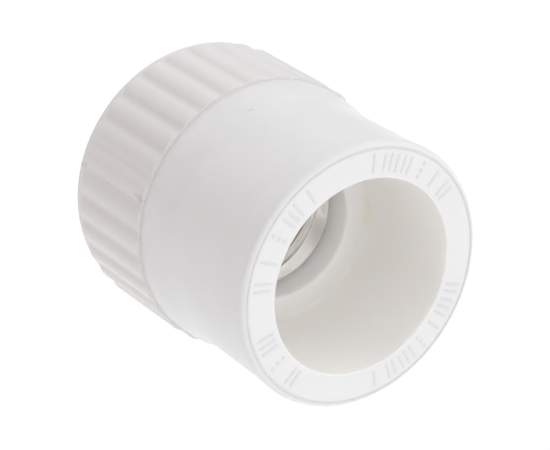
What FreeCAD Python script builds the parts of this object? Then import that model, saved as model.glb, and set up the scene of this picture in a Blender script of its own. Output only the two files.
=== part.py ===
"""Heat-fusion to female-thread adapter for 25 mm plastic pressure pipe.

A white polypropylene body with a pipe socket at one end and a ribbed collar
at the other. A plated brass insert with a G1/2 female thread is moulded into
the collar, sealed by one O-ring round its nose.

The axis of the fitting lies along Y. The origin is the centre of the socket
mouth, the socket opens towards -Y and the threaded port opens towards +Y.
All lengths are in millimetres and all angles in degrees.
"""
import FreeCAD, Part
import math
import os

os.makedirs("parts", exist_ok=True)

# Pipe socket
SOCKET_R = 12.05
SOCKET_DEPTH = 16.0
SOCKET_EDGE = 0.15
SOCKET_ROOT_FILLET = 0.5
WATERWAY_R = 9.0
WATERWAY_EDGE = 0.3

# Outside of the body, front to back
RIM_R = 16.44
RIM_ROUND = 1.0
WAIST_Y = 3.6
WAIST_R = 16.30
WAIST_BLEND = 8.0
BARREL_END_Y = 15.8
BARREL_END_R = 16.52
BARREL_BLEND = 0.4
LAND_START_Y = 19.1
LAND_START_R = 17.28
LAND_BLEND = 0.3
LAND_END_R = 17.40

# Collar: a tapered core that shows in the valleys and as a plain ring at the rear
COLLAR_Y = 21.55
CORE_FRONT_R = 17.62
CORE_EDGE = 0.1
CORE_REAR_R = 18.15
CORE_REAR_ROUND = 0.3
BODY_LENGTH = 37.0

# Ribs: rounded ridges side by side on the core, closed off with a rounded rear end
RIB_COUNT = 33
RIB_VALLEY_ANGLE = 163.3
RIB_ARC_R = 2.86
RIB_FRONT_CREST_R = 17.92
RIB_REAR_CREST_R = 18.46
RIB_FRONT_ROUND = 0.3
RIB_END_Y = 36.4
RIB_END_ROUND = 0.8
RIB_HEADROOM = 0.02

# Brass insert
INSERT_FRONT_Y = 20.0
INSERT_PROUD = 0.3
INSERT_REAR_Y = BODY_LENGTH + INSERT_PROUD
NOSE_R = 12.9
NOSE_CHAMFER = 0.4
NOSE_END_Y = 25.2
WAIST_GROOVE_R = 12.4
KNURL_R = 14.2
KNURL_COUNT = 36
KNURL_DEPTH = 0.5
KNURL_EDGE = 0.35
FRONT_BAND_START_Y = 26.4
FRONT_BAND_END_Y = 29.6
REAR_BAND_START_Y = 31.2
REAR_BAND_END_Y = 34.4
REAR_RING_START_Y = 35.4
REAR_RING_R = 13.6
REAR_RING_CHAMFER = 0.3

# Female pipe thread G1/2 (55 degree form, 14 threads per inch), cut up to a blind end
THREAD_PITCH = 1.814
THREAD_MAJOR_R = 10.4775
THREAD_MINOR_R = 9.3155
THREAD_HALF_ANGLE = 27.5
THREAD_FLAT = THREAD_PITCH / 6.0
THREAD_START_Y = 22.4
ENTRY_R = 11.0
NOSE_BORE_R = WATERWAY_R

# Seal between insert nose and body
ORING_CORD_R = 0.8
ORING_INNER_R = 11.7
ORING_Y = 22.6
ORING_GROOVE_WIDTH = 2.0
ORING_RING_R = ORING_INNER_R + ORING_CORD_R

# Working allowances for the cutting tools
OVERCUT = 1.0
THREAD_OVERLAP = 0.2

AXIS = FreeCAD.Vector(0, 1, 0)
ORIGIN = FreeCAD.Vector(0, 0, 0)


def on_plane(y, r):
    """Point of the half section: y along the axis, r away from it."""
    return FreeCAD.Vector(r, y, 0)


def corner_arc(before, corner, after, radius):
    """Start, middle and end of the arc that rounds one corner."""
    to_before = (before - corner).normalize()
    to_after = (after - corner).normalize()
    half_angle = to_before.getAngle(to_after) / 2.0
    setback = radius / math.tan(half_angle)
    start = corner + to_before * setback
    end = corner + to_after * setback
    bisector = (to_before + to_after).normalize()
    centre = corner + bisector * (radius / math.sin(half_angle))
    middle = centre - bisector * radius
    return start, middle, end


def rounded_face(corners):
    """Closed flat face from corners given as (y, r, rounding radius)."""
    points = [on_plane(y, r) for y, r, rounding in corners]
    count = len(corners)
    arcs = []
    for index in range(count):
        rounding = corners[index][2]
        before = points[index - 1]
        after = points[(index + 1) % count]
        if rounding > 0:
            arcs.append(corner_arc(before, points[index], after, rounding))
        else:
            arcs.append((points[index], None, points[index]))
    edges = []
    for index in range(count):
        start, middle, end = arcs[index]
        next_start = arcs[(index + 1) % count][0]
        if middle is not None:
            edges.append(Part.Arc(start, middle, end).toShape())
        if end.distanceToPoint(next_start) > 1e-6:
            edges.append(Part.LineSegment(end, next_start).toShape())
    return Part.Face(Part.Wire(edges))


def turned(corners):
    """Solid turned about the axis of the fitting."""
    return rounded_face(corners).revolve(ORIGIN, AXIS, 360)


def cylinder(radius, start_y, end_y):
    """Plain cylinder on the axis of the fitting."""
    base = FreeCAD.Vector(0, start_y, 0)
    return Part.makeCylinder(radius, end_y - start_y, base, AXIS)


def spun(shape, angle):
    """Copy turned about the axis, from +X towards +Z."""
    copy = shape.copy()
    copy.rotate(ORIGIN, AXIS, -angle)
    return copy


def rib_envelope():
    """Turned shape just clear of the crests, which shapes both ends of the ribs."""
    return turned([
        (COLLAR_Y, 0, 0),
        (COLLAR_Y, RIB_FRONT_CREST_R + RIB_HEADROOM, RIB_FRONT_ROUND),
        (RIB_END_Y, RIB_REAR_CREST_R + RIB_HEADROOM, RIB_END_ROUND),
        (RIB_END_Y, 0, 0),
    ])


def rib():
    """One rib with its crest in the +X direction, rising towards the rear."""
    rise = RIB_REAR_CREST_R - RIB_FRONT_CREST_R
    slope = math.degrees(math.atan2(rise, RIB_END_Y - COLLAR_Y))
    start = FreeCAD.Vector(RIB_FRONT_CREST_R - RIB_ARC_R, COLLAR_Y - OVERCUT, 0)
    length = RIB_END_Y - COLLAR_Y + 2 * OVERCUT
    ridge = Part.makeCylinder(RIB_ARC_R, length, start, AXIS)
    crest_start = FreeCAD.Vector(RIB_FRONT_CREST_R, COLLAR_Y, 0)
    ridge.rotate(crest_start, FreeCAD.Vector(0, 0, 1), -slope)
    return ridge.common(rib_envelope())


def body_blank():
    """Outside of the plastic body as one turned solid, without the ribs."""
    return turned([
        (0, 0, 0),
        (0, RIM_R, RIM_ROUND),
        (WAIST_Y, WAIST_R, WAIST_BLEND),
        (BARREL_END_Y, BARREL_END_R, BARREL_BLEND),
        (LAND_START_Y, LAND_START_R, LAND_BLEND),
        (COLLAR_Y, LAND_END_R, 0),
        (COLLAR_Y, CORE_FRONT_R, CORE_EDGE),
        (BODY_LENGTH, CORE_REAR_R, CORE_REAR_ROUND),
        (BODY_LENGTH, 0, 0),
    ])


def socket_cavity():
    """Pipe socket and waterway, with the mouth edge and steps rounded."""
    flare = SOCKET_R + SOCKET_EDGE
    return turned([
        (-OVERCUT, 0, 0),
        (-OVERCUT, flare, 0),
        (0, flare, 0),
        (SOCKET_EDGE, SOCKET_R, 0),
        (SOCKET_DEPTH, SOCKET_R, SOCKET_ROOT_FILLET),
        (SOCKET_DEPTH, WATERWAY_R, WATERWAY_EDGE),
        (INSERT_FRONT_Y + OVERCUT, WATERWAY_R, 0),
        (INSERT_FRONT_Y + OVERCUT, 0, 0),
    ])


def knurl_tool():
    """Cutter for one V groove of the knurled bands."""
    bottom = KNURL_R - KNURL_DEPTH
    top = KNURL_R + KNURL_DEPTH
    outline = Part.makePolygon([
        FreeCAD.Vector(bottom, FRONT_BAND_START_Y, 0),
        FreeCAD.Vector(top, FRONT_BAND_START_Y, 2 * KNURL_DEPTH),
        FreeCAD.Vector(top, FRONT_BAND_START_Y, -2 * KNURL_DEPTH),
        FreeCAD.Vector(bottom, FRONT_BAND_START_Y, 0),
    ])
    length = REAR_BAND_END_Y - FRONT_BAND_START_Y
    return Part.Face(outline).extrude(FreeCAD.Vector(0, length, 0))


def insert_blank():
    """Outside of the brass insert without its bore or seal groove."""
    blank = turned([
        (INSERT_FRONT_Y, 0, 0),
        (INSERT_FRONT_Y, NOSE_R - NOSE_CHAMFER, 0),
        (INSERT_FRONT_Y + NOSE_CHAMFER, NOSE_R, 0),
        (NOSE_END_Y, NOSE_R, 0),
        (NOSE_END_Y, WAIST_GROOVE_R, 0),
        (FRONT_BAND_START_Y, WAIST_GROOVE_R, 0),
        (FRONT_BAND_START_Y, KNURL_R, KNURL_EDGE),
        (FRONT_BAND_END_Y, KNURL_R, KNURL_EDGE),
        (FRONT_BAND_END_Y, WAIST_GROOVE_R, 0),
        (REAR_BAND_START_Y, WAIST_GROOVE_R, 0),
        (REAR_BAND_START_Y, KNURL_R, KNURL_EDGE),
        (REAR_BAND_END_Y, KNURL_R, KNURL_EDGE),
        (REAR_BAND_END_Y, WAIST_GROOVE_R, 0),
        (REAR_RING_START_Y, WAIST_GROOVE_R, 0),
        (REAR_RING_START_Y, REAR_RING_R, 0),
        (INSERT_REAR_Y - REAR_RING_CHAMFER, REAR_RING_R, 0),
        (INSERT_REAR_Y, REAR_RING_R - REAR_RING_CHAMFER, 0),
        (INSERT_REAR_Y, 0, 0),
    ])
    tool = knurl_tool()
    for index in range(KNURL_COUNT):
        blank = blank.cut(spun(tool, index * 360.0 / KNURL_COUNT))
    return blank


def seal_groove():
    """Ring cut round the insert nose for the O-ring."""
    front = ORING_Y - ORING_GROOVE_WIDTH / 2.0
    back = ORING_Y + ORING_GROOVE_WIDTH / 2.0
    outer = cylinder(NOSE_R + OVERCUT, front, back)
    return outer.cut(cylinder(ORING_INNER_R, front, back))


def insert_bore():
    """Waterway, thread core and countersunk entry."""
    entry_depth = ENTRY_R - THREAD_MINOR_R
    return turned([
        (INSERT_FRONT_Y - OVERCUT, 0, 0),
        (INSERT_FRONT_Y - OVERCUT, NOSE_BORE_R, 0),
        (THREAD_START_Y, NOSE_BORE_R, 0),
        (THREAD_START_Y, THREAD_MINOR_R, 0),
        (INSERT_REAR_Y - entry_depth, THREAD_MINOR_R, 0),
        (INSERT_REAR_Y, ENTRY_R, 0),
        (INSERT_REAR_Y + OVERCUT, ENTRY_R, 0),
        (INSERT_REAR_Y + OVERCUT, 0, 0),
    ])


def thread_tool():
    """Helical ridge that cuts the thread groove, wound round the axis."""
    start = THREAD_START_Y + THREAD_PITCH / 2.0
    length = INSERT_REAR_Y + THREAD_PITCH - start
    helix = Part.makeHelix(THREAD_PITCH, length, THREAD_MINOR_R)
    inner = THREAD_MINOR_R - THREAD_OVERLAP
    flank = (THREAD_MAJOR_R - inner) * math.tan(math.radians(THREAD_HALF_ANGLE))
    narrow = THREAD_FLAT / 2.0
    wide = narrow + flank
    section = Part.makePolygon([
        FreeCAD.Vector(inner, 0, -wide),
        FreeCAD.Vector(THREAD_MAJOR_R, 0, -narrow),
        FreeCAD.Vector(THREAD_MAJOR_R, 0, narrow),
        FreeCAD.Vector(inner, 0, wide),
        FreeCAD.Vector(inner, 0, -wide),
    ])
    ridge = Part.Wire(helix).makePipeShell([section], True, True)
    ridge.rotate(ORIGIN, FreeCAD.Vector(1, 0, 0), -90)
    ridge.translate(FreeCAD.Vector(0, start, 0))
    return ridge


def seal_oring():
    """O-ring as moulded in, round the insert nose."""
    centre = FreeCAD.Vector(0, ORING_Y, 0)
    return Part.makeTorus(ORING_RING_R, ORING_CORD_R, centre, AXIS)


def brass_insert(blank):
    """Plated brass insert with seal groove, bore and thread."""
    solid = blank.cut(seal_groove())
    solid = solid.cut(insert_bore())
    return solid.cut(thread_tool())


def ppr_body(blank, oring):
    """Plastic body moulded round the insert and its seal."""
    one_rib = rib()
    pitch = 360.0 / RIB_COUNT
    ribs = []
    for index in range(RIB_COUNT):
        ribs.append(spun(one_rib, RIB_VALLEY_ANGLE + (index + 0.5) * pitch))
    solid = body_blank().multiFuse(ribs).removeSplitter()
    solid = solid.cut(socket_cavity())
    solid = solid.cut(blank)
    return solid.cut(oring)


insert_outside = insert_blank()
oring_solid = seal_oring()
ppr_body(insert_outside, oring_solid).exportStep("parts/ppr_body.step")
brass_insert(insert_outside).exportStep("parts/brass_insert.step")
oring_solid.exportStep("parts/seal_oring.step")
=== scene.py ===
"""Looks of a white heat-fusion pipe adapter with a moulded-in brass thread insert.

The fitting lies on its side. Its axis runs along +Y from the mouth of the pipe
socket to the threaded end. Sections are given in millimetres as (y, r): y along
the axis, r away from it. Angles round the axis run from +X towards +Z.
"""
import math

import bpy
import numpy as np
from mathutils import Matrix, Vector, noise


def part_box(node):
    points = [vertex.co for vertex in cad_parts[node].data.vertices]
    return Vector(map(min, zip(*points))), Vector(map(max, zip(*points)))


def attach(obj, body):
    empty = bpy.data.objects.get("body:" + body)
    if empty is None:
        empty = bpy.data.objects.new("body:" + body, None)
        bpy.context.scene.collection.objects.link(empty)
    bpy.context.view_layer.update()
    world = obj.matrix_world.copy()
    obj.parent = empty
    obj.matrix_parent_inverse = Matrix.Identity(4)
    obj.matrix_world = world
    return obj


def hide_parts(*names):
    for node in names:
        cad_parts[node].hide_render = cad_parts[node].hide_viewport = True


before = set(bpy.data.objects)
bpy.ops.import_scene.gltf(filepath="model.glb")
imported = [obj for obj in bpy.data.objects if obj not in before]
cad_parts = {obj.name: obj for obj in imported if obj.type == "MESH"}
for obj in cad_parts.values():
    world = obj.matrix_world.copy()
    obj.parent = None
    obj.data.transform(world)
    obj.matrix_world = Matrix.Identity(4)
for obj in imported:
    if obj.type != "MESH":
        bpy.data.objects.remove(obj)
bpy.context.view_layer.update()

MM = 0.001

# Overall sizes, read back from the frame
BODY_LOW, BODY_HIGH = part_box("ppr_body")
INSERT_LOW, INSERT_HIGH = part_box("brass_insert")
BODY_LENGTH = BODY_HIGH.y / MM
INSERT_FRONT_Y = INSERT_LOW.y / MM
INSERT_REAR_Y = INSERT_HIGH.y / MM
KNURL_R = INSERT_HIGH.x / MM

# Pipe socket and front face
SOCKET_R = 12.05
SOCKET_DEPTH = 16.0
MOUTH_ROUND = 0.18
ROOT_ROUND = 0.5
WATERWAY_R = 9.0
LIP_ROUND = 0.45
FACE_STEP = 0.04
FACE_R = 15.42
FACE_EDGE_ROUND = 0.15
FACE_EDGE_WIDTH = 8 * FACE_STEP

# Outside of the body
RIM_R = 16.44
RIM_ROUND = 0.9
WAIST_Y = 3.6
WAIST_R = 16.30
WAIST_ROUND = 8.0
BARREL_END_Y = 15.8
BARREL_END_R = 16.52
LAND_START_Y = 19.1
LAND_START_R = 17.28
LAND_END_R = 17.40
COLLAR_Y = 21.55
CORE_FRONT_R = 17.60
CORE_REAR_R = 18.13
REAR_ROUND = 0.35

# Rounded ribs of the collar
RIB_COUNT = 33
RIB_PITCH = 2 * math.pi / RIB_COUNT
RIB_ARC_R = 2.86
RIB_FRONT_CREST_R = 17.90
RIB_REAR_CREST_R = 18.44
RIB_FRONT_ROUND = 0.16
RIB_END_Y = 36.4
RIB_END_ROUND = 0.8
VALLEY_ROUND = 0.12

# Columns across half a rib, from valley to crest, as shares of the pitch
HALF_RIB = [0, 0.03, 0.055, 0.075, 0.095, 0.115, 0.14, 0.175, 0.23, 0.30, 0.37, 0.435, 0.5]

# Flash left by the mould along its parting line, which lies in a valley of the ribs
PARTING_ANGLE = math.radians(163.3)
FLASH_HALF_WIDTH = 0.07
FLASH_HEIGHT = 0.05
FAINT_FLASH_SHARE = 0.25
FLASH_RAGGEDNESS = 1.7

# Scuffs and specks on the plastic, as for patches()
SCUFFS = [
    (161.2, 22.1, 17.75, 0.80, 0.60),
    (160.6, 23.0, 17.85, 0.45, 0.45),
    (161.6, 35.6, 18.30, 0.60, 0.55),
    (162.5, 36.6, 18.10, 0.40, 0.50),
    (105.5, 16.85, 16.75, 0.30, 0.30),
    (106.8, 16.95, 16.78, 0.22, 0.30),
    (123.7, 7.2, 16.35, 0.16, 0.35),
    (130.3, 4.2, 16.30, 0.16, 0.30),
    (190.2, 25.6, 17.95, 0.35, 0.35),
    (9.2, 6.8, SOCKET_R, 0.14, 0.60),
]
SCUFF_COLOR = (0.42, 0.38, 0.35)

# Painted warm light on the wall at the root of the socket, as for patches()
PAINTED_WARM_LIGHT_SPOTS = [
    (5.0, 15.9, SOCKET_R, 1.0, 0.22),
    (1.0, 15.9, SOCKET_R, 1.0, 0.22),
    (-3.0, 15.9, SOCKET_R, 1.0, 0.22),
    (-7.0, 15.9, SOCKET_R, 1.0, 0.18),
]
PAINTED_WARM_LIGHT_COLOR = (0.80, 0.62, 0.45)

# Painted shade on the collar: from its front edge back, its colour is blended to this darker one,
# standing in for the shade where the metal insert lies behind the collar's translucent wall
PAINTED_COLLAR_SHADE = (0.785, 0.768, 0.762)

# Colours of the pieces: each is mottled between the two
PLASTIC_COLORS = ((0.82, 0.822, 0.828), (0.845, 0.847, 0.852))
PLATING_COLORS = ((0.75, 0.73, 0.70), (0.80, 0.775, 0.74))
RUBBER_COLORS = ((0.018, 0.018, 0.018), (0.028, 0.027, 0.026))

# Inside the bore the plastic is lit through its walls: it is given more translucency, and its colour
# there is painted lighter as painted light
PAINTED_BORE_LIGHT_COLOR = (0.965, 0.945, 0.915)
BORE_TRANSLUCENCY = 0.7
SKIN_TRANSLUCENCY = 0.12
TRANSLUCENT_DEPTH = 3.0
TRANSLUCENT_TINT = (1.0, 0.93, 0.82)
PLASTIC_IOR = 1.49

# Raised marks on the front face
MARK_LOW_R = 12.75
MARK_HIGH_R = 15.0
MARK_STROKE = 0.34
MARK_DOT = 0.5
MARK_HEIGHT = 0.04
MARK_SINK = 0.06
MARK_BEVEL = 0.05
MARK_GAP = 0.9

# Groups of marks round the face: angles of the first and the last mark, and their kinds
MARK_GROUPS = [
    (170, 122, ["pair", "bar", "dots", "triple", "bar"]),
    (86, 37, ["bar", "triple", "pair", "dots", "bar", "pair"]),
    (-20, -82, ["pair", "triple", "bar", "dots", "triple", "pair", "bar"]),
    (200, 226, ["triple", "dots", "pair"]),
]

# Insert
NOSE_R = 12.9
NOSE_END_Y = 25.2
GROOVE_R = 12.4
FRONT_BAND = (26.4, 29.6)
REAR_BAND = (31.2, 34.4)
BAND_ROUND = 0.35
KNURL_COUNT = 36
KNURL_STEPS = 8
KNURL_DEPTH = 0.5
REAR_RING_Y = 35.4
REAR_RING_R = 13.6
THREAD_PITCH = 1.814
THREAD_MAJOR_R = 10.4775
THREAD_MINOR_R = 9.3155
THREAD_START_Y = 22.4
THREAD_ROW = 0.065
THREAD_FLAT_SHARE = 1 / 6
THREAD_EASE = 0.06
ENTRY_R = 11.0

# O-ring
ORING_Y = 22.6
ORING_INNER_R = 11.7
ORING_CORD_R = 0.8
ORING_GROOVE = 2.0
ORING_FLASH_SHARE = 0.012
ORING_FLASH_WIDTH = 0.12
ORING_CORD_STEPS = 40
ORING_STEPS = 180

# Camera
CAMERA_AZIMUTH = -32.80
CAMERA_ELEVATION = 24.24
CAMERA_DISTANCE = 170.8
CAMERA_AIM_RIGHT = -10.164
CAMERA_AIM_UP = 6.091
CAMERA_LENS = 98.18
CAMERA_SENSOR = 36.0

# Studio: a bright table under an even sky that has one dark side and one dim side
FLOOR_HALF_SIZE = 1.5
TABLE_GLOW = 0.93
TABLE_GREY = 0.1
SKY_TOP = (1.165, 1.165, 1.17)
SKY_HORIZON = (1.08, 1.085, 1.10)
SKY_HORIZON_HEIGHT = 0.7
DARK_SIDE_AZIMUTH = -96
DARK_SIDE_ELEVATION = 14
DARK_SIDE_CORE = 29
DARK_SIDE_EDGE = 57
DARK_SIDE_COLOR = (0.10, 0.03, 0.02)
DIM_SIDE_AZIMUTH = 112
DIM_SIDE_ELEVATION = 8
DIM_SIDE_CORE = 8
DIM_SIDE_EDGE = 50
DIM_SIDE_COLOR = (0.55, 0.555, 0.57)


# ---------------------------------------------------------------- sections

def arc_points(before, corner, after, radius, steps):
    """Points of the arc that rounds one corner of a section."""
    to_before = (before - corner).normalized()
    to_after = (after - corner).normalized()
    half = to_before.angle(to_after) / 2
    setback = radius / math.tan(half)
    centre = corner + (to_before + to_after).normalized() * (radius / math.sin(half))
    start = corner + to_before * setback - centre
    sweep = math.pi - 2 * half
    turn = 1 if to_before.cross(to_after) < 0 else -1
    points = []
    for step in range(steps + 1):
        angle = turn * sweep * step / steps
        c, s = math.cos(angle), math.sin(angle)
        points.append(centre + Vector((start.x * c - start.y * s, start.x * s + start.y * c)))
    return points


def section(corners, spacing, guard=0.06, arc_steps=7):
    """Closed section from (y, r, rounding) corners, with extra points beside each corner.

    A fourth number sets the spacing of the points from that corner to the next.
    """
    flat = [Vector(corner[:2]) for corner in corners]
    runs = []
    for i, corner in enumerate(corners):
        before, after = flat[i - 1], flat[(i + 1) % len(flat)]
        if corner[2] > 0:
            runs.append(arc_points(before, flat[i], after, corner[2], arc_steps))
        else:
            runs.append([flat[i]])
    points = []
    for i, run in enumerate(runs):
        points.extend(run)
        start, end = run[-1], runs[(i + 1) % len(runs)][0]
        length = (end - start).length
        if length < 3 * guard:
            continue
        step = corners[i][3] if len(corners[i]) > 3 else spacing
        pieces = max(1, math.ceil((length - 2 * guard) / step))
        for k in range(pieces + 1):
            along = guard + (length - 2 * guard) * k / pieces
            points.append(start.lerp(end, along / length))
    return np.array([(p.x, p.y) for p in points])


def spread(points, angles):
    """Grids of y, r and angle: one row for each point, one column for each angle."""
    y = np.repeat(points[:, :1], len(angles), axis=1)
    r = np.repeat(points[:, 1:], len(angles), axis=1)
    turn = np.repeat(angles[None, :], len(points), axis=0)
    return y, r, turn


def swept_grid(y, r, turn):
    """Vertices and quads of a closed grid that runs round the section and round the axis."""
    rows, columns = r.shape
    vertices = np.stack([r * np.cos(turn), y, r * np.sin(turn)], axis=-1).reshape(-1, 3) * MM
    index = np.arange(rows * columns).reshape(rows, columns)
    below = np.roll(index, -1, axis=0)
    quads = np.stack([index, np.roll(index, -1, axis=1),
                      np.roll(below, -1, axis=1), below], axis=-1).reshape(-1, 4)
    return vertices.tolist(), quads.tolist()


def mesh_piece(name, vertices, faces, material):
    """Smooth-shaded object made from vertices and faces."""
    mesh = bpy.data.meshes.new(name)
    mesh.from_pydata(vertices, [], faces)
    mesh.validate()
    mesh.shade_smooth()
    mesh.materials.append(material)
    piece = bpy.data.objects.new(name, mesh)
    bpy.context.scene.collection.objects.link(piece)
    return piece


def smooth_max(a, b, k):
    """Maximum of two heights with a rounded crossover of width k."""
    h = np.clip(0.5 + 0.5 * (a - b) / k, 0, 1)
    return b + (a - b) * h + k * h * (1 - h)


def smooth_step(x):
    x = np.clip(x, 0, 1)
    return x * x * (3 - 2 * x)


# ---------------------------------------------------------------- body

def taper(front, rear, end_y, y):
    """Radius that grows evenly from the collar's front to end_y."""
    return front + (rear - front) * (y - COLLAR_Y) / (end_y - COLLAR_Y)


def crest_radius(y):
    return taper(RIB_FRONT_CREST_R, RIB_REAR_CREST_R, RIB_END_Y, y)


def collar_radius(y, turn):
    """Radius of the ribs and of the core between and behind them."""
    offset = (turn - PARTING_ANGLE) / RIB_PITCH
    from_crest = (offset - np.floor(offset) - 0.5) * RIB_PITCH
    centre = crest_radius(y) - RIB_ARC_R
    arc = centre * np.cos(from_crest) + np.sqrt(RIB_ARC_R ** 2 - (centre * np.sin(from_crest)) ** 2)
    beyond = np.clip((y - RIB_END_Y) / RIB_END_ROUND + 1, 0, 1)
    rib = arc - RIB_END_ROUND * (1 - np.sqrt(1 - beyond ** 2))
    core = taper(CORE_FRONT_R, CORE_REAR_R, BODY_LENGTH, y)
    return smooth_max(rib, core, VALLEY_ROUND)


def rib_columns():
    """Angles of the columns round the axis, closer together in the valleys."""
    rising = np.array(HALF_RIB)
    one_rib = np.concatenate([rising, 1 - rising[1:-1][::-1]])
    ribs = np.concatenate([k + one_rib for k in range(RIB_COUNT)]) * RIB_PITCH
    flash = FLASH_HALF_WIDTH / CORE_REAR_R * np.array([-2, -1, -0.5, 0.5, 1, 2])
    both = np.concatenate([ribs, flash, flash + math.pi])
    return PARTING_ANGLE + np.sort(both % (2 * math.pi))


def flash_height(y, turn):
    """Height of the ragged flash along both parting lines, over the collar and fainter elsewhere."""
    offset = (turn - PARTING_ANGLE + math.pi / 2) % math.pi - math.pi / 2
    across = offset * CORE_REAR_R / FLASH_HALF_WIDTH
    places = [Vector((row * FLASH_RAGGEDNESS, 0.3, 4.1)) for row in y[:, 0]]
    ragged = np.array([0.55 + 0.9 * noise.noise(place) for place in places])
    height = np.where(y > COLLAR_Y, FLASH_HEIGHT, FAINT_FLASH_SHARE * FLASH_HEIGHT)
    return height * np.clip(ragged, 0.1, 1)[:, None] * np.exp(-across ** 2)


def body_section():
    """Section of the moulding, drawn along the rib crests."""
    end_start = RIB_END_Y - 1.1 * RIB_END_ROUND
    return section([
        (FACE_STEP, SOCKET_R, MOUTH_ROUND),
        (FACE_STEP, FACE_R, FACE_EDGE_ROUND),
        (0, FACE_R + FACE_EDGE_WIDTH, FACE_EDGE_ROUND),
        (0, RIM_R, RIM_ROUND),
        (WAIST_Y, WAIST_R, WAIST_ROUND),
        (BARREL_END_Y, BARREL_END_R, 0.4),
        (LAND_START_Y, LAND_START_R, 0.3),
        (COLLAR_Y, LAND_END_R, 0.05),
        (COLLAR_Y, RIB_FRONT_CREST_R, RIB_FRONT_ROUND),
        (end_start, crest_radius(end_start), 0, 0.08),
        (RIB_END_Y, crest_radius(RIB_END_Y), 0),
        (BODY_LENGTH, crest_radius(BODY_LENGTH), REAR_ROUND),
        (BODY_LENGTH, REAR_RING_R, 0.08),
        (REAR_RING_Y, REAR_RING_R, 0),
        (REAR_RING_Y, GROOVE_R, 0),
        (REAR_BAND[1], GROOVE_R, 0),
        (REAR_BAND[1], KNURL_R, 0),
        (REAR_BAND[0], KNURL_R, 0),
        (REAR_BAND[0], GROOVE_R, 0),
        (FRONT_BAND[1], GROOVE_R, 0),
        (FRONT_BAND[1], KNURL_R, 0),
        (FRONT_BAND[0], KNURL_R, 0),
        (FRONT_BAND[0], GROOVE_R, 0),
        (NOSE_END_Y, GROOVE_R, 0),
        (NOSE_END_Y, NOSE_R, 0),
        (INSERT_FRONT_Y, NOSE_R, 0),
        (INSERT_FRONT_Y, WATERWAY_R, 0.12),
        (SOCKET_DEPTH, WATERWAY_R, LIP_ROUND),
        (SOCKET_DEPTH, SOCKET_R, ROOT_ROUND),
    ], spacing=0.5)


def body_shell():
    """Vertices and faces of the plastic moulding."""
    y, r, turn = spread(body_section(), rib_columns())
    outer = r > FACE_R
    ribbed = (y > COLLAR_Y - 1e-6) & (r >= LAND_END_R)
    height = (collar_radius(y, turn) - LAND_END_R) / (crest_radius(y) - LAND_END_R)
    r = np.where(ribbed, LAND_END_R + (r - LAND_END_R) * height, r)
    skin = outer & (y > RIM_ROUND) & (y < BODY_LENGTH - REAR_ROUND)
    r = np.where(skin, r + flash_height(y, turn), r)
    return swept_grid(y, r, turn)


# ---------------------------------------------------------------- raised marks

def rounded_outline(width, height, rounding, steps=3):
    """Corner-rounded rectangle round the origin, as (x, y) points."""
    points = []
    for quarter in range(4):
        centre = Vector(((width / 2 - rounding) * (1 if quarter in (0, 3) else -1),
                         (height / 2 - rounding) * (1 if quarter in (0, 1) else -1)))
        for step in range(steps + 1):
            angle = (quarter + step / steps) * math.pi / 2
            points.append(centre + Vector((math.cos(angle), math.sin(angle))) * rounding)
    return points


def add_stroke(vertices, faces, angle, radius, across, along):
    """Adds one raised bar: across is its size round the face, along its size outwards."""
    rounding = 0.45 * min(across, along)
    top = MARK_HEIGHT
    levels = [
        (-MARK_SINK, 0.0),
        (top - MARK_BEVEL, 0.0),
        (top - 0.3 * MARK_BEVEL, 0.5 * MARK_BEVEL),
        (top, 1.1 * MARK_BEVEL),
        (top, 1.6 * MARK_BEVEL),
    ]
    out = Vector((math.cos(angle), math.sin(angle)))
    side = Vector((-out.y, out.x))
    rings = []
    for height, inset in levels:
        outline = rounded_outline(across - 2 * inset, along - 2 * inset, max(rounding - inset, 0.02))
        ring = []
        for point in outline:
            place_on_face = out * (radius + point.y) + side * point.x
            ring.append(len(vertices))
            vertices.append((place_on_face.x * MM, (FACE_STEP - height) * MM, place_on_face.y * MM))
        rings.append(ring)
    count = len(rings[0])
    for lower, upper in zip(rings, rings[1:]):
        for k in range(count):
            n = (k + 1) % count
            faces.append((lower[k], upper[k], upper[n], lower[n]))
    faces.append(tuple(rings[0]))
    faces.append(tuple(reversed(rings[-1])))


def add_mark(vertices, faces, kind, angle):
    """Adds one abstract mark made of bars or dots, standing on the front face."""
    middle = (MARK_LOW_R + MARK_HIGH_R) / 2
    height = MARK_HIGH_R - MARK_LOW_R
    edge = (height - MARK_DOT) / 2
    half_gap = MARK_GAP / 2 / middle
    if kind == "bar":
        strokes = [(0, 0, MARK_STROKE, height)]
    elif kind == "pair":
        strokes = [(-half_gap, 0, MARK_STROKE, height), (half_gap, 0, MARK_STROKE, height)]
    elif kind == "triple":
        strokes = [(turn, 0, MARK_STROKE, height) for turn in (-2 * half_gap, 0, 2 * half_gap)]
    else:
        strokes = [(0, shift, MARK_DOT, MARK_DOT) for shift in (-edge, 0, edge)]
    for turn, shift, across, along in strokes:
        add_stroke(vertices, faces, angle + turn, middle + shift, across, along)


def add_marks(vertices, faces):
    for start, end, kinds in MARK_GROUPS:
        for k, kind in enumerate(kinds):
            angle = math.radians(start + (end - start) * k / (len(kinds) - 1))
            add_mark(vertices, faces, kind, angle)


def build_body(material):
    vertices, faces = body_shell()
    add_marks(vertices, faces)
    return mesh_piece("body_moulding", vertices, faces, material)


# ---------------------------------------------------------------- insert

def thread_radius(y, turn):
    """Wall radius of the female thread: straight flanks, with crest and root eased."""
    phase = (y / THREAD_PITCH - turn / (2 * math.pi)) % 1.0
    wave = np.abs(phase - 0.5) * 2
    flank = np.clip((wave - THREAD_FLAT_SHARE) / (1 - 2 * THREAD_FLAT_SHARE), 0, 1)
    eased = flank + THREAD_EASE * np.sin(2 * math.pi * flank)
    run_in = smooth_step((y - THREAD_START_Y) / THREAD_PITCH)
    return THREAD_MINOR_R + (THREAD_MAJOR_R - THREAD_MINOR_R) * eased * run_in


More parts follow.
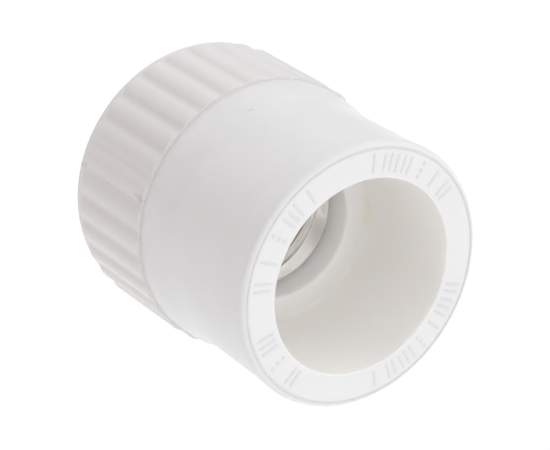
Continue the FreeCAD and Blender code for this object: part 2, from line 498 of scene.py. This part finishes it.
def insert_section():
    """Section of the turned insert, with a plain wall in place of the thread."""
    groove = (ORING_Y - ORING_GROOVE / 2, ORING_Y + ORING_GROOVE / 2)
    return section([
        (INSERT_FRONT_Y, WATERWAY_R, 0.12),
        (INSERT_FRONT_Y, NOSE_R, 0.3),
        (groove[0], NOSE_R, 0.05),
        (groove[0], ORING_INNER_R, 0.1),
        (groove[1], ORING_INNER_R, 0.1),
        (groove[1], NOSE_R, 0.05),
        (NOSE_END_Y, NOSE_R, 0.1),
        (NOSE_END_Y, GROOVE_R, 0.1),
        (FRONT_BAND[0], GROOVE_R, 0.1),
        (FRONT_BAND[0], KNURL_R, BAND_ROUND),
        (FRONT_BAND[1], KNURL_R, BAND_ROUND),
        (FRONT_BAND[1], GROOVE_R, 0.1),
        (REAR_BAND[0], GROOVE_R, 0.1),
        (REAR_BAND[0], KNURL_R, BAND_ROUND),
        (REAR_BAND[1], KNURL_R, BAND_ROUND),
        (REAR_BAND[1], GROOVE_R, 0.1),
        (REAR_RING_Y, GROOVE_R, 0.1),
        (REAR_RING_Y, REAR_RING_R, 0.1),
        (INSERT_REAR_Y, REAR_RING_R, 0.25),
        (INSERT_REAR_Y, ENTRY_R, 0.1),
        (INSERT_REAR_Y - (ENTRY_R - THREAD_MINOR_R), THREAD_MINOR_R, 0),
        (THREAD_START_Y, THREAD_MINOR_R, 0.05),
        (THREAD_START_Y - 0.3, WATERWAY_R, 0.05),
    ], spacing=0.5, arc_steps=5)


def threaded_section():
    """Section of the insert with close rows along the thread, and which rows those are."""
    points = insert_section()
    start = THREAD_START_Y + 0.05
    wall = (points[:, 1] < ENTRY_R - 0.05) & (points[:, 0] > start)
    first = int(np.argmax(wall))
    last = len(wall) - int(np.argmax(wall[::-1]))
    rows = np.arange(INSERT_REAR_Y - 0.12, start, -THREAD_ROW)
    core = np.maximum(THREAD_MINOR_R, ENTRY_R - (INSERT_REAR_Y - rows))
    closer = np.vstack([points[:first], np.stack([rows, core], axis=1), points[last:]])
    in_thread = np.zeros((len(closer), 1), bool)
    in_thread[first:first + len(rows)] = True
    return closer, in_thread


def build_insert(material):
    points, in_thread = threaded_section()
    columns = KNURL_COUNT * KNURL_STEPS
    y, r, turn = spread(points, np.arange(columns) * 2 * math.pi / columns)
    r = np.where(in_thread, np.maximum(r, thread_radius(y, turn)), r)
    tooth = np.abs((turn * KNURL_COUNT / (2 * math.pi)) % 1.0 - 0.5) * 2
    knurled = KNURL_R - KNURL_DEPTH * np.clip(1.25 * tooth - 0.25, 0, 1)
    r = np.where(r > REAR_RING_R + 0.05, np.minimum(r, knurled), r)
    vertices, faces = swept_grid(y, r, turn)
    return mesh_piece("threaded_insert", vertices, faces, material)


def build_oring(material):
    """O-ring with the fine flash line of its mould."""
    around = np.arange(ORING_CORD_STEPS) * 2 * math.pi / ORING_CORD_STEPS
    flash = np.exp(-(np.sin(around) / ORING_FLASH_WIDTH) ** 2)
    cord = ORING_CORD_R * (1 - ORING_FLASH_SHARE * (1 - flash))
    points = np.stack([ORING_Y + cord * np.sin(around),
                       ORING_INNER_R + ORING_CORD_R + cord * np.cos(around)], axis=1)
    y, r, turn = spread(points, np.arange(ORING_STEPS) * 2 * math.pi / ORING_STEPS)
    vertices, faces = swept_grid(y, r, turn)
    return mesh_piece("seal_ring", vertices, faces, material)


# ---------------------------------------------------------------- materials

def new_material(name):
    """New node material: returns it, its node tree and its shader."""
    material = bpy.data.materials.new(name)
    material.use_nodes = True
    tree = material.node_tree
    return material, tree, tree.nodes["Principled BSDF"]


def noise_node(tree, size_mm, detail=3.0):
    """Noise in object space whose features are about size_mm across."""
    place_node = tree.nodes.new("ShaderNodeTexCoord")
    node = tree.nodes.new("ShaderNodeTexNoise")
    node.inputs["Scale"].default_value = 1.0 / (size_mm * MM)
    node.inputs["Detail"].default_value = detail
    node.inputs["Roughness"].default_value = 0.55
    tree.links.new(place_node.outputs["Object"], node.inputs["Vector"])
    return node.outputs["Fac"]


def remap(tree, value, low, high, to_low, to_high, shape="LINEAR"):
    node = tree.nodes.new("ShaderNodeMapRange")
    node.interpolation_type = shape
    node.inputs["From Min"].default_value = low
    node.inputs["From Max"].default_value = high
    node.inputs["To Min"].default_value = to_low
    node.inputs["To Max"].default_value = to_high
    tree.links.new(value, node.inputs["Value"])
    return node.outputs["Result"]


def patches(tree, places):
    """Mask of soft blotchy spots, each given as (angle, y, distance from the axis, size, strength)."""
    place_node = tree.nodes.new("ShaderNodeTexCoord")
    blotchy = remap(tree, noise_node(tree, 0.35, 3.0), 0.35, 0.6, 0.25, 1)
    mask = None
    for angle, y, r, size, strength in places:
        turn = math.radians(angle)
        apart = tree.nodes.new("ShaderNodeVectorMath")
        apart.operation = "DISTANCE"
        tree.links.new(place_node.outputs["Object"], apart.inputs[0])
        apart.inputs[1].default_value = (r * math.cos(turn) * MM, y * MM, r * math.sin(turn) * MM)
        spot = remap(tree, apart.outputs["Value"], 0.3 * size * MM, size * MM, strength, 0, "SMOOTHSTEP")
        mask = spot if mask is None else combine(tree, "MAXIMUM", mask, spot)
    return combine(tree, "MULTIPLY", mask, blotchy)


def combine(tree, operation, first, second):
    node = tree.nodes.new("ShaderNodeMath")
    node.operation = operation
    tree.links.new(first, node.inputs[0])
    tree.links.new(second, node.inputs[1])
    return node.outputs["Value"]


def distance_along_axis(tree):
    """Distance of the shaded point behind the plane of the mouth, in metres."""
    place_node = tree.nodes.new("ShaderNodeTexCoord")
    split = tree.nodes.new("ShaderNodeSeparateXYZ")
    tree.links.new(place_node.outputs["Object"], split.inputs[0])
    return split.outputs["Y"]


def distance_from_axis(tree):
    """Distance of the shaded point from the axis of the fitting, in metres."""
    place_node = tree.nodes.new("ShaderNodeTexCoord")
    flatten = tree.nodes.new("ShaderNodeVectorMath")
    flatten.operation = "MULTIPLY"
    tree.links.new(place_node.outputs["Object"], flatten.inputs[0])
    flatten.inputs[1].default_value = (1, 0, 1)
    length = tree.nodes.new("ShaderNodeVectorMath")
    length.operation = "LENGTH"
    tree.links.new(flatten.outputs["Vector"], length.inputs[0])
    return length.outputs["Value"]


def blend_colors(tree, factor, first, second):
    """Mix of two colours, each given as a socket or as a tuple."""
    node = tree.nodes.new("ShaderNodeMix")
    node.data_type = "RGBA"
    tree.links.new(factor, node.inputs["Factor"])
    for socket, value in ((node.inputs["A"], first), (node.inputs["B"], second)):
        if isinstance(value, tuple):
            socket.default_value = (*value, 1)
        else:
            tree.links.new(value, socket)
    return node.outputs["Result"]


def add_bump(tree, shader, height, depth_mm):
    node = tree.nodes.new("ShaderNodeBump")
    node.inputs["Strength"].default_value = 1.0
    node.inputs["Distance"].default_value = depth_mm * MM
    tree.links.new(height, node.inputs["Height"])
    tree.links.new(node.outputs["Normal"], shader.inputs["Normal"])


def mottled(tree, size_mm, low, high, detail=3.0):
    """Noise spread between two values."""
    return remap(tree, noise_node(tree, size_mm, detail), 0.3, 0.7, low, high)


def ppr_material():
    """Satin white polypropylene: faint mottling, fine grain, scuffs and a little translucency, with
    painted shade on the collar, painted light inside the socket and painted warm light at its root.
    """
    material, tree, shader = new_material("white_ppr")
    color = blend_colors(tree, mottled(tree, 5.0, 0, 1), *PLASTIC_COLORS)
    # Painted shade: from the collar's front edge back, the colour is blended to the darker collar colour
    behind = remap(tree, distance_along_axis(tree), (COLLAR_Y - 0.8) * MM, COLLAR_Y * MM, 0, 1)
    color = blend_colors(tree, behind, color, PAINTED_COLLAR_SHADE)
    # Painted light: inside the socket the colour is blended to a lighter one
    inside = remap(tree, distance_from_axis(tree), (SOCKET_R + 0.02) * MM, (SOCKET_R + 0.2) * MM, 1, 0)
    color = blend_colors(tree, inside, color, PAINTED_BORE_LIGHT_COLOR)
    color = blend_colors(tree, patches(tree, SCUFFS), color, SCUFF_COLOR)
    # Painted warm light on the wall at the root of the socket
    color = blend_colors(tree, patches(tree, PAINTED_WARM_LIGHT_SPOTS), color, PAINTED_WARM_LIGHT_COLOR)
    tree.links.new(color, shader.inputs["Base Color"])
    tree.links.new(mottled(tree, 2.5, 0.28, 0.34, detail=1.0), shader.inputs["Roughness"])
    shader.inputs["IOR"].default_value = PLASTIC_IOR
    translucency = remap(tree, inside, 0, 1, SKIN_TRANSLUCENCY, BORE_TRANSLUCENCY)
    tree.links.new(translucency, shader.inputs["Subsurface Weight"])
    shader.inputs["Subsurface Radius"].default_value = TRANSLUCENT_TINT
    shader.inputs["Subsurface Scale"].default_value = TRANSLUCENT_DEPTH * MM
    add_bump(tree, shader, noise_node(tree, 0.25, 2.0), 0.0015)
    return material


def brass_material():
    """Nickel-plated brass with a turned, slightly uneven gloss."""
    material, tree, shader = new_material("plated_brass")
    color = blend_colors(tree, mottled(tree, 3.0, 0, 1), *PLATING_COLORS)
    tree.links.new(color, shader.inputs["Base Color"])
    tree.links.new(mottled(tree, 0.8, 0.3, 0.42, detail=1.0), shader.inputs["Roughness"])
    shader.inputs["Metallic"].default_value = 1.0
    add_bump(tree, shader, noise_node(tree, 0.3), 0.004)
    return material


def rubber_material():
    """Matt black rubber with a fine grain."""
    material, tree, shader = new_material("black_epdm")
    color = blend_colors(tree, mottled(tree, 1.5, 0, 1), *RUBBER_COLORS)
    tree.links.new(color, shader.inputs["Base Color"])
    shader.inputs["Roughness"].default_value = 0.6
    add_bump(tree, shader, noise_node(tree, 0.15), 0.005)
    return material


# ---------------------------------------------------------------- studio

def build_camera():
    azimuth, elevation = math.radians(CAMERA_AZIMUTH), math.radians(CAMERA_ELEVATION)
    back = Vector((math.sin(azimuth) * math.cos(elevation),
                   -math.cos(azimuth) * math.cos(elevation), math.sin(elevation)))
    right = Vector((math.cos(azimuth), math.sin(azimuth), 0))
    up = back.cross(right)
    aim = right * CAMERA_AIM_RIGHT + up * CAMERA_AIM_UP
    data = bpy.data.cameras.new("camera")
    data.lens = CAMERA_LENS
    data.sensor_width = CAMERA_SENSOR
    data.clip_start = 0.005
    camera = bpy.data.objects.new("camera", data)
    bpy.context.scene.collection.objects.link(camera)
    camera.location = (aim + back * CAMERA_DISTANCE) * MM
    camera.rotation_mode = "QUATERNION"
    camera.rotation_quaternion = back.to_track_quat("Z", "Y")
    bpy.context.scene.camera = camera


def build_floor():
    """Pale table that glows evenly, so that it shows no shadow."""
    size, z = FLOOR_HALF_SIZE, BODY_LOW.z
    material, tree, shader = new_material("floor_white")
    shader.inputs["Base Color"].default_value = (TABLE_GREY, TABLE_GREY, TABLE_GREY, 1)
    shader.inputs["Roughness"].default_value = 0.9
    shader.inputs["Specular IOR Level"].default_value = 0.1
    shader.inputs["Emission Color"].default_value = (1, 1, 1, 1)
    shader.inputs["Emission Strength"].default_value = TABLE_GLOW
    corners = [(-size, -size, z), (size, -size, z), (size, size, z), (-size, size, z)]
    mesh_piece("floor", corners, [(0, 1, 2, 3)], material)


def sky_direction(azimuth, elevation):
    """Direction towards a point of the sky; azimuth 0 is -Y and 90 is +X."""
    azimuth, elevation = math.radians(azimuth), math.radians(elevation)
    return (math.sin(azimuth) * math.cos(elevation),
            -math.cos(azimuth) * math.cos(elevation), math.sin(elevation))


def sky_patch(tree, direction, azimuth, elevation, core, edge):
    """Soft round patch of the sky: 1 within core degrees of its middle, 0 beyond edge degrees."""
    node = tree.nodes.new("ShaderNodeVectorMath")
    node.operation = "DOT_PRODUCT"
    tree.links.new(direction, node.inputs[0])
    node.inputs[1].default_value = sky_direction(azimuth, elevation)
    low, high = math.cos(math.radians(edge)), math.cos(math.radians(core))
    return remap(tree, node.outputs["Value"], low, high, 0, 1, "SMOOTHSTEP")


def build_lights():
    """World that lights the fitting from all round, with a dark side and a dim side."""
    world = bpy.data.worlds.new("studio")
    bpy.context.scene.world = world
    world.use_nodes = True
    tree = world.node_tree
    direction = tree.nodes.new("ShaderNodeTexCoord").outputs["Generated"]
    height = tree.nodes.new("ShaderNodeSeparateXYZ")
    tree.links.new(direction, height.inputs["Vector"])
    rise = remap(tree, height.outputs["Z"], 0, SKY_HORIZON_HEIGHT, 0, 1, "SMOOTHSTEP")
    sky = blend_colors(tree, rise, SKY_HORIZON, SKY_TOP)
    dark = sky_patch(tree, direction, DARK_SIDE_AZIMUTH, DARK_SIDE_ELEVATION,
                     DARK_SIDE_CORE, DARK_SIDE_EDGE)
    sky = blend_colors(tree, dark, sky, DARK_SIDE_COLOR)
    dim = sky_patch(tree, direction, DIM_SIDE_AZIMUTH, DIM_SIDE_ELEVATION,
                    DIM_SIDE_CORE, DIM_SIDE_EDGE)
    sky = blend_colors(tree, dim, sky, DIM_SIDE_COLOR)
    background = tree.nodes["Background"]
    tree.links.new(sky, background.inputs["Color"])


# ---------------------------------------------------------------- assembly

def place(piece, node, slot):
    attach(piece, "root")
    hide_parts(node)


place(build_body(ppr_material()), "ppr_body", "white_ppr")
place(build_insert(brass_material()), "brass_insert", "plated_brass")
place(build_oring(rubber_material()), "seal_oring", "black_epdm")

build_floor()
build_lights()
build_camera()
bpy.context.scene.view_settings.view_transform = "Standard"
